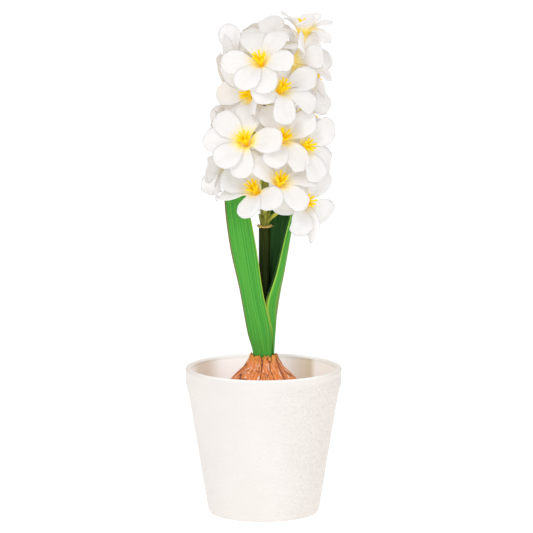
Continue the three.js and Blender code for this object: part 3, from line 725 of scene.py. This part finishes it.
frames = [floret_frame(floret) for floret in FLORETS]
bm = bmesh.new()
CORE_STEPS = 40
heights = np.linspace(STEM_TOP - STEM_SOCKET + 0.3, STALK_TOP, CORE_STEPS)
girths = np.linspace(STALK_RADIUS, 0.5 * STALK_RADIUS, CORE_STEPS)
drawn(bm, [stalk_axis(height) for height in heights], girths, sides=20)
CORE_RIBS = [(0.16, 5, 0.02, 0), (0.09, 9, -0.03, 1)]
for vert in bm.verts:
    axis = stalk_axis(vert.co.z / MM) * MM
    aside = vert.co - axis
    if vert.co.z > (STEM_TOP + 1) * MM:
        turn = math.atan2(aside.y, aside.x)
        vert.co = axis + aside * (1 + wavy(turn, vert.co.z / MM, CORE_RIBS) / 2)
PEDICEL_STEPS = 14
PEDICEL_RADIUS = 1.05
swelling = [
    PEDICEL_RADIUS * (1 + 0.35 * math.exp(-4 * step / PEDICEL_STEPS) + 0.3 * max(0, step - 10) / 3)
    for step in range(PEDICEL_STEPS)
]
for place in frames:
    line = pedicel_line(place, PEDICEL_STEPS)
    drawn(bm, line, swelling, sides=10)
    out = (line[5] - line[0]).normalized()
    scale_tip = line[0] + 5.2 * out + Vector((0, 0, -1.6))
    scale_line = [line[0], line[0].lerp(scale_tip, 0.55) - Vector((0, 0, 0.5)), scale_tip]
    drawn(bm, scale_line, (1.5, 1.2, 0.12), sides=8, flat=0.45)
# Cut stubs of pedicels round the stalk's foot: degrees round it, how far out and how tall.
STUBS = [(-64, 3.1, 6), (12, 2.6, 9), (70, 3.0, 8), (150, 2.8, 8), (215, 3.0, 7)]
for turn, spread, tall in STUBS:
    way = Vector((math.sin(math.radians(turn)), -math.cos(math.radians(turn)), 0))
    low = stalk_axis(STEM_TOP + 2.2) + 1.7 * way
    half_way = low + 0.6 * way + Vector((0, 0, 0.5 * tall))
    cut_end = low + 0.55 * spread * way + Vector((0, 0, tall))
    drawn(bm, [low, half_way, cut_end], (0.9, 0.95, 0.5), sides=8)
bmesh.ops.recalc_face_normals(bm, faces=bm.faces)
sap = new_finish("stalk_olive")
fibres = sap.noise(sap.place((1, 1, 0.25)), 1500, detail=3)
patches = sap.noise(sap.place(), 130, detail=2)
aside = sap.vector("SUBTRACT", sap.place(), (STEM_X * MM, 0, 0))
aside = sap.vector("MULTIPLY", aside, (1, 1, 0))
away = sap.vector("LENGTH", aside).out("Value").rise(0.002, 0.009)
olive = sap.mixed(fibres.rise(0.3, 0.7), (0.17, 0.19, 0.028), (0.34, 0.35, 0.050))
pale = sap.mixed(fibres.rise(0.3, 0.7), (0.60, 0.60, 0.055), (0.80, 0.75, 0.11))
olive = sap.mixed(away, olive, pale)
olive = sap.mixed(patches.rise(0.55, 0.75) * 0.45, olive, (0.42, 0.30, 0.08))
stalk_olive = sap.finished(
    base_color=olive,
    roughness=0.5 + fibres * 0.2,
    normal=sap.bump(fibres, 0.0002, 0.7),
    specular=0.2,
)
stalk = made_object(bm, "stalk_and_pedicels", stalk_olive)
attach(stalk, "root")
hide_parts("flower_stalk")


# ---- Leaves: printed strap leaves of stiffened cloth ----
# Two channelled straps are pushed into the bulb's neck. Their backs are bright green with close veins
# and a pale line up the right margin, and their channels are a much darker green, partly printed and
# partly painted shade. The right leaf has an olive crease beside its midrib, and the dark green with
# its painted shade comes a little round its near margin.
# A leaf is drawn by three lines up it: its left edge, its midrib and its right edge.
def through(points, shares):
    """The centripetal curve through a line of points, at shares of its way, as rows of an array."""
    line = np.array(points, float)
    line = np.vstack([2 * line[0] - line[1], line, 2 * line[-1] - line[-2]])
    spans = len(points) - 1
    rows = []
    for share in shares:
        span = min(int(share * spans), spans - 1)
        p0, p1, p2, p3 = line[span : span + 4]
        d0, d1, d2 = (max(1e-4, np.linalg.norm(b - a)) ** 0.5 for a, b in ((p0, p1), (p1, p2), (p2, p3)))
        m1 = ((p1 - p0) / d0 - (p2 - p0) / (d0 + d1) + (p2 - p1) / d1) * d1
        m2 = ((p2 - p1) / d1 - (p3 - p1) / (d1 + d2) + (p3 - p2) / d2) * d1
        t = share * spans - span
        curve = p1 + m1 * t + (3 * (p2 - p1) - 2 * m1 - m2) * t**2 + (2 * (p1 - p2) + m1 + m2) * t**3
        rows.append(curve)
    return np.array(rows)


LEFT_LEAF = [
    [(-5.6, -1.7, 82.5), (-5.7, -1.8, 93), (-8.8, -4, 105), (-13.4, -5.4, 130.5),
     (-18.5, -6.6, 153.5), (-21.6, -8, 177), (-22, -9.6, 196), (-19.6, -10.6, 207)],
    [(-0.6, -5.3, 82.5), (-0.7, -5.4, 93), (-2.4, -7.8, 105), (-7.4, -9.2, 130.5),
     (-11.2, -9.6, 153.5), (-14.8, -10.2, 177), (-17.4, -11, 196), (-18.9, -11.2, 208.5)],
    [(4.3, -3.8, 82.5), (4.4, -3.8, 93), (4.3, -6, 105), (-0.7, -8.2, 130.5), (-3.9, -9.4, 153.5),
     (-8.4, -9, 177), (-13.4, -9.6, 196), (-18.2, -11, 207.5)],
]
RIGHT_LEAF = [
    [(4.9, -1, 82.5), (4.9, -1.2, 92), (4.2, -3.9, 106), (1, -5.2, 121), (6.3, -6, 140),
     (11.6, -6.2, 162), (14.6, -4.6, 174), (14.4, 1.6, 184), (10.8, 8, 191)],
    [(4.9, 2.5, 82.5), (5, 2.4, 92), (6.1, 0.8, 106), (8, -0.4, 121), (11, -0.4, 140),
     (14.4, 0.4, 162), (16.2, 2.4, 174), (14.8, 6.4, 184), (10.4, 9.6, 192)],
    [(-0.6, 5.2, 82.5), (-0.7, 5.3, 92), (-1.6, 6.3, 106), (-2.6, 7, 121), (-2.4, 8.6, 140),
     (0.4, 10.4, 162), (2.6, 10.8, 174), (5.6, 10.8, 184), (9.6, 10.2, 191)],
]
LEAF_THICKNESS = 0.8
LEAF_VEINS = 11
LEAF_ACROSS = 44
LEAF_ALONG = 110


def leaf_finish(name, tint, wrap, fold):
    """The print on a leaf: u runs across it from 0 to 1 and v along it; the channel side is dark, in
    print and painted shade.

    tint is of its left margin. wrap and fold are how strong the dark print and painted shade round that
    margin and the crease beside the midrib are.
    """
    print_ = new_finish(name)
    uv = print_.place(source="UV")
    across, along, _ = print_.parts(uv)
    wander = print_.noise(print_.place((1, 1, 0.12)), 260, detail=2)
    fine = print_.noise(print_.place((34, 1.2, 1), "UV"), 3, detail=4)
    broad = print_.noise(print_.place((7, 0.8, 1), "UV"), 2, detail=2)
    veins = (across * (2 * math.pi * LEAF_VEINS) + wander * 1.2).sine()
    channel = print_.add("Attribute", {"attribute_name": "channel"}).out("Fac")
    green = print_.mixed(fine.rise(0.3, 0.7), (0.048, 0.29, 0.036), (0.092, 0.41, 0.052))
    green = print_.mixed(broad.rise(0.40, 0.65) * 0.65, green, (0.14, 0.48, 0.06))
    green = print_.mixed(veins.rise(0.2, 0.95) * 0.35, green, (0.028, 0.21, 0.022))
    green = print_.mixed(along.rise(0.16, 0.0) * 0.45, green, (0.03, 0.27, 0.05))
    right_margin = across.rise(0.955, 0.985) * along.rise(0.2, 0.42) * 0.9
    green = print_.mixed(right_margin, green, (0.44, 0.58, 0.06))
    edge_mark = across.rise(0.075, 0.05) * along.rise(0.1, 0.4)
    green = print_.mixed(edge_mark * (0.6 + broad * 0.5), green, tint)
    green = print_.mixed(abs(across - 0.36).rise(0.15, 0.05) * fold, green, (0.24, 0.27, 0.07))
    # The channel's dark green is partly its print and partly painted shade: painted darker toward the
    # foot and lighter toward the tip.
    dark = print_.mixed(fine.rise(0.3, 0.7), (0.016, 0.066, 0.013), (0.036, 0.135, 0.026))
    dark = print_.mixed(along.rise(0.62, 0.36) * 0.85, dark, (0.004, 0.010, 0.004))
    dark = print_.mixed(along.rise(0.72, 0.95) * 0.6, dark, (0.035, 0.15, 0.03))
    # The dark print and painted shade wrap a little round the near margin.
    wrapped_dark_and_shade = across.rise(0.045, 0.03) * along.rise(0.34, 0.44) * wrap
    green = print_.mixed(wrapped_dark_and_shade, green, dark)
    green = print_.mixed(channel, green, dark)
    relief = veins * 0.5 + fine * 0.6
    return print_.finished(
        base_color=green,
        roughness=0.42 + fine * 0.2,
        normal=print_.bump(relief, 0.00022, 0.7),
        specular=0.08,
    )


def leaf(name, node, rails, finish, channel_front):
    """A strap leaf whose channel faces the stem."""
    bm = bmesh.new()
    uv = bm.loops.layers.uv.new("UVMap")
    channel = bm.verts.layers.float.new("channel")
    grid = bmesh.ops.create_grid(bm, x_segments=LEAF_ACROSS, y_segments=LEAF_ALONG, size=1)["verts"]
    shares = np.arange(LEAF_ALONG + 1) / LEAF_ALONG
    left, middle, right = (through(rail, shares) for rail in rails)
    spots = {vert: (vert.co.x, (vert.co.y + 1) / 2) for vert in grid}
    for face in bm.faces:
        for loop in face.loops:
            u, v = spots[loop.vert]
            loop[uv].uv = ((u + 1) / 2, v)
    for vert, (u, v) in spots.items():
        row = round(v * LEAF_ALONG)
        point = left[row] * u * (u - 1) / 2 + middle[row] * (1 - u * u) + right[row] * u * (u + 1) / 2
        vert.co = Vector(point) * MM
    bmesh.ops.recalc_face_normals(bm, faces=bm.faces)
    bm.normal_update()
    ribs = {
        vert: 0.07 * math.cos(2 * math.pi * LEAF_VEINS * (u + 1) / 2) * (1 - abs(u) ** 6)
        for vert, (u, v) in spots.items()
    }
    lifted = {vert: vert.normal * (ribs[vert] + 0.5 * LEAF_THICKNESS) * MM for vert in grid}
    for vert, lift in lifted.items():
        vert.co += lift
    before = set(bm.verts)
    bmesh.ops.solidify(bm, geom=bm.faces[:], thickness=LEAF_THICKNESS * MM)
    for vert in bm.verts:
        is_new = vert not in before
        vert[channel] = float(is_new != channel_front)
    made = made_object(bm, name, finish)
    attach(made, "root")
    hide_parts(node)


left_print = leaf_finish("left_leaf_print", (0.19, 0.155, 0.05), wrap=0, fold=0)
leaf("strap_leaf_left", "leaf_left", LEFT_LEAF, left_print, channel_front=True)
right_print = leaf_finish("right_leaf_print", (0.40, 0.62, 0.07), wrap=1, fold=0.7)
leaf("strap_leaf_right", "leaf_right", RIGHT_LEAF, right_print, channel_front=False)


# ---- Corollas: six petals of white cloth on a moulded tube ----
# Each floret is stamped from stiffened cloth: three inner petals stand a little in front of three
# outer ones. They leave the tube as a funnel, open out and curl back at their rounded tips. The cloth
# is creased, ruffled and rolled at the tip, dyed yellow down the throat, and lets some light through.
PETAL_LENGTH = 22.4
PETAL_WIDTH = 14.8
PETAL_ROOT = (2.8, -1.2)  # out from the tube's axis, and along it
MOUTH_ANGLE = 26.0
FLARE_LENGTH = 9.0
INNER_FLARE = 62.0
OUTER_FLARE = 73.0
CURL = 34.0
ARC_STEP = 0.25


def scatter(n):
    """A fixed scatter between -1 and 1, so that no two petals are alike."""
    wave = math.sin(n * 12.9898) * 43758.5453
    return 2 * (wave - math.floor(wave)) - 1


def petal_of(floret, f, k):
    """Petal k of floret f before it meets its neighbours; no two are quite alike."""
    size = floret["size"]
    flare = OUTER_FLARE if k % 2 else INNER_FLARE
    return dict(
        toward=floret["petals"][k] + 3 * scatter(6 * f + k + 0.5),
        flare=flare + 6 * scatter(17 * f + k + 0.1) + floret["open"] + floret["bends"][k],
        curl=CURL + 14 * scatter(29 * f + 3 * k),
        length=PETAL_LENGTH * size * (1 + 0.06 * scatter(11 * f + 5 * k)),
        width=PETAL_WIDTH * size * (1 + 0.07 * scatter(7 * f + 2 * k)),
        twist=14 * scatter(13 * f + 7 * k) + floret["twists"][k],
    )


def midrib(flare, curl, length):
    """Columns of the way along a petal, then how far out, how far along and at what angle it is."""
    ways = np.arange(0, length - 1e-6 + ARC_STEP, ARC_STEP)
    opened = np.clip(ways / FLARE_LENGTH, 0, 1)
    opened = opened * opened * (3 - 2 * opened)
    curled = np.clip((ways - FLARE_LENGTH) / (length - FLARE_LENGTH), 0, None) ** 1.3
    angles = np.radians(MOUTH_ANGLE + (flare - MOUTH_ANGLE) * opened + curl * curled)
    out = PETAL_ROOT[0] + np.concatenate([[0], np.cumsum(ARC_STEP * np.sin(angles))[:-1]])
    along = PETAL_ROOT[1] + np.concatenate([[0], np.cumsum(ARC_STEP * np.cos(angles))[:-1]])
    return ways, out, along, angles


# A crowded petal has bent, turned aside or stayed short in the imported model, and the cloth does the
# same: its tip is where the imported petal's tip is.
SHORTER = (1, 0.88, 0.76, 0.64, 0.54)
ASIDE = (0, 9, -9, 18, -18, 27, -27)
BENDS = (0, 6, -6, 12, -12, 18, -18, 24, -24, 30, -30, 38, -38, 46, 54)
SAME_PLACE = 0.03  # how far a petal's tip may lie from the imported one's, in mm


def settled(petal, corners):
    """The petal as it settled among its neighbours, or None if it had no room."""
    out = np.hypot(corners[:, 0], corners[:, 1])
    turn = np.degrees(np.arctan2(corners[:, 1], corners[:, 0]))
    best = None
    for shorter in SHORTER:
        for bend in BENDS:
            length, flare = petal["length"] * shorter, petal["flare"] + bend
            line = midrib(flare, petal["curl"], length)
            off = np.hypot(out - line[1][-1], corners[:, 2] - line[2][-1])
            for aside in ASIDE:
                swerve = (turn - petal["toward"] - aside + 180) % 360 - 180
                miss = np.min(off + np.radians(np.abs(swerve)) * out)
                if miss < (best[0] if best else SAME_PLACE):
                    best = (miss, dict(petal, length=length, flare=flare, toward=petal["toward"] + aside))
    return best and best[1]


PETAL_ACROSS = 14
PETAL_ALONG = 26
CLOTH = 0.34  # thickness
CUP_SHARES = (0, 0.18, 0.42, 0.68, 0.9, 1)
CUPS = (0.75, 0.8, 0.95, 0.3, -0.5, -0.8)  # how far the edges stand in front of the midrib


def half_width(v):
    spread = 0.27 + 0.73 * np.sin(math.pi / 2 * np.clip(v / 0.6, 0, 1)) ** 2
    return spread * np.sqrt(1 - (np.clip(v - 0.64, 0, None) / 0.44) ** 2)


def petal_cloth(u, v, petal, inner, dice):
    """Where the points of a petal lie, in its floret's frame; u runs across from -1 to 1, v along."""
    ways, out, along, angles = midrib(petal["flare"], petal["curl"], petal["length"])
    way = ways[-1] * v * (1 - 0.06 * u * u * v**4)
    out, along, angles = (np.interp(way, ways, column) for column in (out, along, angles))
    toward, twist = math.radians(petal["toward"]), np.radians(petal["twist"]) * v
    outward = np.array([math.cos(toward), math.sin(toward), 0])
    sideways = np.array([-math.sin(toward), math.cos(toward), 0])
    upright = np.array([0, 0, 1])
    tangent = np.outer(np.sin(angles), outward) + np.outer(np.cos(angles), upright)
    normal = np.outer(np.cos(angles), outward) - np.outer(np.sin(angles), upright)
    across = np.outer(np.cos(twist), sideways) - np.sin(twist)[:, None] * normal
    back = np.cross(across, tangent)
    lean, swell, notch = dice.uniform(-0.14, 0.14), dice.uniform(0.94, 1.04), dice.uniform(-0.9, 0.5)
    wide = half_width(v) * petal["width"] / 2 * swell
    cup = np.interp(v, CUP_SHARES, CUPS) * (0.8 + 0.4 * dice.random())
    roll, slant = dice.uniform(0, 1.8), dice.uniform(-1, 1)
    phases = [dice.uniform(0, 2 * math.pi) for _ in range(5)]
    waves = 0.75 * np.sin(9 * v + phases[0] + 1.6 * u) + 0.3 * np.sin(21 * v + phases[1] - u)
    ruffle = np.abs(u) ** 2.5 * v * waves
    rolled = -roll * (np.clip(v - 0.7, 0, 1) / 0.3) ** 2 * (1 + 0.6 * u * slant)
    crease = -0.34 * np.exp(-((u - 2 * lean) / 0.16) ** 2) * np.sin(math.pi * np.clip(v * 1.15, 0, 1))
    folds = 0.14 * np.sin(9 * u + phases[2] + 1.5 * v) * (1 - v) ** 0.5
    folds = folds + 0.08 * np.sin(15 * u + phases[3]) * (1 - v)
    sag = 0.3 * np.sin(5 * v + phases[4]) * v
    front = cup * u * u + ruffle + rolled + crease + folds + sag + (0.12 if inner else -0.12)
    tip = notch * np.clip(v - 0.8, 0, 1) * (1 - u * u)
    points = np.outer(out, outward) + np.outer(along, upright)
    points += across * (wide * (u + lean * v * (1 - u * u)))[:, None]
    points += tangent * tip[:, None] - back * front[:, None]
    return points, way


# How strong the yellow dye is in the throats of the first florets. The other florets have 1.
THROAT_YELLOWS = (1.0, 0.9, 1.35, 1.05, 0.9, 1.0, 1.0, 0.7, 1.3, 1.2)
THROAT_REACH = 8.0  # along a petal, where most of the yellow ends


def add_petals(bm, floret, f, place):
    """All the petals of a floret that have room, with their throat colour, on one mesh."""
    throat = bm.verts.layers.float.get("throat")
    uv = bm.loops.layers.uv.get("UVMap")
    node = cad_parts[f"floret_{f + 1:02d}_petals"]
    corners = np.array([place.inverted() @ (vert.co / MM) for vert in node.data.vertices])
    dice = random.Random(100 + f)
    yellow = THROAT_YELLOWS[f] if f < len(THROAT_YELLOWS) else 1
    for k in range(6):
        petal = settled(petal_of(floret, f, k), corners)
        if not petal:
            continue
        grid = bmesh.ops.create_grid(bm, x_segments=PETAL_ACROSS, y_segments=PETAL_ALONG, size=1)["verts"]
        u = np.array([vert.co.x for vert in grid])
        v = np.array([(vert.co.y + 1) / 2 for vert in grid])
        points, way = petal_cloth(u, v, petal, k % 2 == 0, dice)
        faces = list({face for vert in grid for face in vert.link_faces})
        spots = {vert: (a, b) for vert, a, b in zip(grid, u, v)}
        for face in faces:
            for loop in face.loops:
                a, b = spots[loop.vert]
                loop[uv].uv = (0.5 + 0.5 * a + 3 * k, b)
        for vert, point, far in zip(grid, points, way):
            vert.co = place @ Vector(point) * MM
            vert[throat] = yellow * math.exp(-((far / THROAT_REACH) ** 1.6))
        bmesh.ops.solidify(bm, geom=faces, thickness=CLOTH * MM)


cloth = new_finish("white_cloth")
at = cloth.place()
yellow = cloth.add("Attribute", {"attribute_name": "throat"}).out("Fac")
rays = cloth.noise(cloth.place((9, 0.8, 1), "UV"), 2.2, detail=4, roughness=0.6)
weave = cloth.noise(at, 2600, detail=2)
soft = cloth.noise(at, 190, detail=3)
white = cloth.mixed(soft.rise(0.3, 0.75), (0.890, 0.912, 0.938), (0.868, 0.886, 0.906))
# Darker streaks run along the petals with the creases: partly the cloth's own streaks and partly painted
# shade in the creases.
white = cloth.mixed(rays.rise(0.45, 0.75) * 0.45, white, (0.81, 0.795, 0.795))
tinged = yellow * (0.75 + rays * 0.5)
white = cloth.mixed(tinged.rise(0.26, 1.0), white, (0.98, 0.86, 0.45))
white = cloth.mixed(tinged.rise(0.78, 1.22), white, (0.97, 0.74, 0.09))
creases = rays * 0.7 + weave * 0.25 + soft * 0.5
# A painted glow lifts the cloth's shade: a pale warm white, and a yellow one in the throat.
painted_cloth_glow = cloth.mixed(tinged.rise(0.5, 1.1), (0.25, 0.227, 0.2), (0.58, 0.45, 0.02))
face_of_cloth = cloth.surface(
    base_color=white,
    roughness=0.62 + soft * 0.12,
    normal=cloth.bump(creases, 0.0007, 0.8),
    specular=0.28,
    sheen_weight=0.12,
    emission_color=painted_cloth_glow,
    emission_strength=0.4,
)
through_cloth = cloth.add("BsdfTranslucent", {}, {"Color": (0.985, 0.945, 0.925)})
glow = 0.46 - yellow.rise(0.1, 0.8) * 0.25
white_cloth = cloth.shown(cloth.add("MixShader", {}, {0: glow, 1: face_of_cloth, 2: through_cloth}))
POCKET_FLOOR = -6.0  # of the hollow in the tube, from its mouth


def placed(bm, place):
    """Moves a mesh from a floret's frame to where the floret is."""
    move = Matrix.Scale(MM, 4) @ place @ Matrix.Scale(1 / MM, 4)
    bmesh.ops.transform(bm, matrix=move, verts=bm.verts)


for f, (floret, place) in enumerate(zip(FLORETS, frames)):
    bm = bmesh.new()
    throat = bm.verts.layers.float.new("throat")
    bm.loops.layers.uv.new("UVMap")
    foot = [(0, 0), (1.2, 0.1), (1.7, 0.9), (1.95, 3.0)]
    foot = [(radius, up - TUBE_LENGTH) for radius, up in foot]
    flank = [(2.3, POCKET_FLOOR), (2.75, -2.5), (3.2, -0.3), (3.0, 0.1)]
    hollow = [(2.4, -2.5), (1.8, POCKET_FLOOR), (0, POCKET_FLOOR)]
    spun(bm, foot + flank + hollow, steps=18)
    for vert in bm.verts:
        vert[throat] = 0.9 if vert.co.z > -5 * MM else 0.5
    placed(bm, place)
    add_petals(bm, floret, f, place)
    made = made_object(bm, f"floret_{f + 1:02d}_corolla", white_cloth)
    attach(made, "root")
    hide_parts(f"floret_{f + 1:02d}_petals")


# ---- Stamens: a moulded golden crown in each throat ----
# One soft plastic moulding for each floret: a cup that stands in the tube's pocket, whose eight blunt
# fingers spread apart beyond the throat round a ninth. It is orange at the foot and yellow at the tips.
FINGERS = 8
CUP_TOP = 4.0
CUP_FOOT = POCKET_FLOOR + 0.3
FINGER_LENGTH = 8.2
gold = new_finish("golden_plastic")
ripeness = gold.add("Attribute", {"attribute_name": "ripeness"}).out("Fac")
grainy = gold.noise(gold.place(), 900, detail=3)
golden = gold.mixed(ripeness.rise(0.0, 0.6), (0.95, 0.55, 0.002), (0.98, 0.70, 0.002))
golden = gold.mixed(grainy.rise(0.5, 0.75) * 0.3, golden, (1.0, 0.70, 0.03))
# The moulding is also given a faint painted glow in its own colour.
golden_plastic = gold.finished(
    base_color=golden,
    roughness=0.42 + grainy * 0.2,
    normal=gold.bump(grainy, 0.0002, 0.6),
    specular=0.3,
    emission_color=golden,
    emission_strength=0.12,
)
for f, place in enumerate(frames):
    dice = random.Random(500 + f)
    bm = bmesh.new()
    ripe = bm.verts.layers.float.new("ripeness")
    cup = [(0, CUP_FOOT), (1.1, CUP_FOOT), (1.25, -3), (1.6, 0), (2.25, CUP_TOP)]
    spun(bm, [*cup, (1.8, CUP_TOP), (1.1, 1.6), (0, 1.2)], steps=16)
    for finger in range(FINGERS + 1):
        inner = finger == FINGERS
        turn = Matrix.Rotation((finger + 0.3 * dice.uniform(-1, 1)) * 2 * math.pi / FINGERS, 3, "Z")
        spread = 0.9 if inner else dice.uniform(3.3, 4.1)
        long = FINGER_LENGTH * dice.uniform(0.88, 1.04)
        foot = 0.4 if inner else 1.85
        bow = [
            (foot, 0, CUP_TOP - 1.4),
            (foot + 0.18, 0, CUP_TOP + 0.2),
            (foot + 0.35 * (spread - foot), 0, 0.35 * CUP_TOP + 0.65 * long - 0.4),
            (foot + 0.78 * (spread - foot), 0, long - 0.9),
            (spread - 0.12, 0, long - 0.25),
            (spread, 0, long),
        ]
        drawn(bm, [turn @ Vector(point) for point in bow], (0.62, 0.6, 0.56, 0.58, 0.54, 0.3), sides=8)
    for vert in bm.verts:
        vert[ripe] = min(1, max(0, (vert.co.z / MM + 2) / 9))
    bmesh.ops.recalc_face_normals(bm, faces=bm.faces)
    placed(bm, place)
    made = made_object(bm, f"floret_{f + 1:02d}_crown", golden_plastic)
    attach(made, "root")
    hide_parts(f"floret_{f + 1:02d}_stamens")


# ---- The visual model's box ----
low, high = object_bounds()
